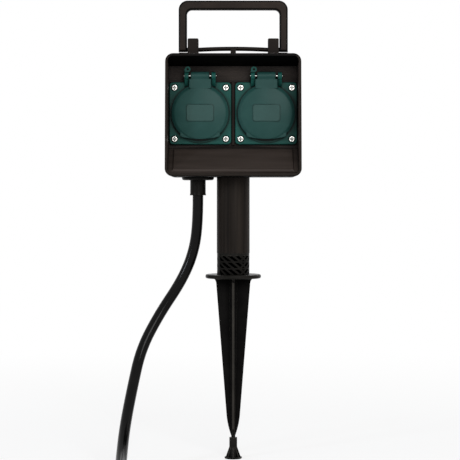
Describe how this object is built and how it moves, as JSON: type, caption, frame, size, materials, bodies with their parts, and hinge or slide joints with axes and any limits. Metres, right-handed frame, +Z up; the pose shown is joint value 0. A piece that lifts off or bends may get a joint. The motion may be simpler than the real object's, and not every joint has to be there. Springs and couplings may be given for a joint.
{
  "type": "garden socket post",
  "caption": "Outdoor socket box with spring-lidded plug wells under a hood, on a short tube with a bladed ground spike, a folding handle and a mains lead.",
  "frame": {"origin": "centre of the step plate's underside, where the post meets the soil", "axes": "+X to the right as seen from the front, -Y towards the front with the lids, +Z up"},
  "size_m": [0.1563, 0.3257, 0.372],
  "materials": {
    "housing_plastic": "satin",
    "green_plastic": "satin",
    "core_plastic": "matte",
    "cord_rubber": "satin",
    "seal_rubber": "matte",
    "zinc_steel": "bright zinc",
    "pin_nickel": "nickel plated",
    "contact_brass": "plain",
    "wire_brown": "satin",
    "wire_blue": "satin",
    "wire_green_yellow": "satin",
    "tie_plastic": "satin"
  },
  "bodies": {
    "post": {"front_shell": "housing_plastic", "rear_cover": "housing_plastic", "housing_seal": "seal_rubber", "housing_screws": "zinc_steel", "post_tube": "housing_plastic", "tube_screws": "zinc_steel", "ground_spike": "housing_plastic", "cable_gland": "housing_plastic", "gland_seal": "seal_rubber", "gland_nut": "core_plastic", "cord_grip": "core_plastic", "cord_grip_screws": "zinc_steel", "cord_inlet": "cord_rubber", "cord_run": "cord_rubber", "cord_coil": "cord_rubber", "cord_tie": "tie_plastic", "plug_body": "cord_rubber", "plug_pins": "pin_nickel", "plug_earth_contacts": "contact_brass", "line_wires": "wire_brown", "neutral_wires": "wire_blue", "earth_wires": "wire_green_yellow", "left_socket_frame": "green_plastic", "left_socket_core": "core_plastic", "left_flange_seal": "seal_rubber", "left_flange_screws": "zinc_steel", "left_line_contacts": "contact_brass", "left_earth_bracket": "contact_brass", "left_hinge_pin": "zinc_steel", "left_lid_spring": "zinc_steel", "right_socket_frame": "green_plastic", "right_socket_core": "core_plastic", "right_flange_seal": "seal_rubber", "right_flange_screws": "zinc_steel", "right_line_contacts": "contact_brass", "right_earth_bracket": "contact_brass", "right_hinge_pin": "zinc_steel", "right_lid_spring": "zinc_steel"},
    "left_lid": {"left_lid": "green_plastic", "left_lid_seal": "seal_rubber"},
    "right_lid": {"right_lid": "green_plastic", "right_lid_seal": "seal_rubber"},
    "handle": {"handle": "housing_plastic"},
    "tip_cap": {"tip_cap": "housing_plastic"}
  },
  "joints": [
    {"name": "left_lid_hinge", "type": "hinge", "parent": "post", "child": "left_lid", "pos_m": [-0.02655, -0.0158, 0.1628], "axis": [-1, 0, 0], "range_deg": [0, 100], "stiffness_Nm_per_rad": 0.01, "springref_deg": -28.65},
    {"name": "right_lid_hinge", "type": "hinge", "parent": "post", "child": "right_lid", "pos_m": [0.02655, -0.0158, 0.1628], "axis": [-1, 0, 0], "range_deg": [0, 100], "stiffness_Nm_per_rad": 0.01, "springref_deg": -28.65},
    {"name": "handle_fold", "type": "hinge", "parent": "post", "child": "handle", "pos_m": [0, 0.008, 0.186], "axis": [1, 0, 0], "range_deg": [0, 90]},
    {"name": "tip_cap_slide", "type": "slide", "parent": "post", "child": "tip_cap", "axis": [0, 0, -1], "range_m": [0, 0.012]}
  ]
}
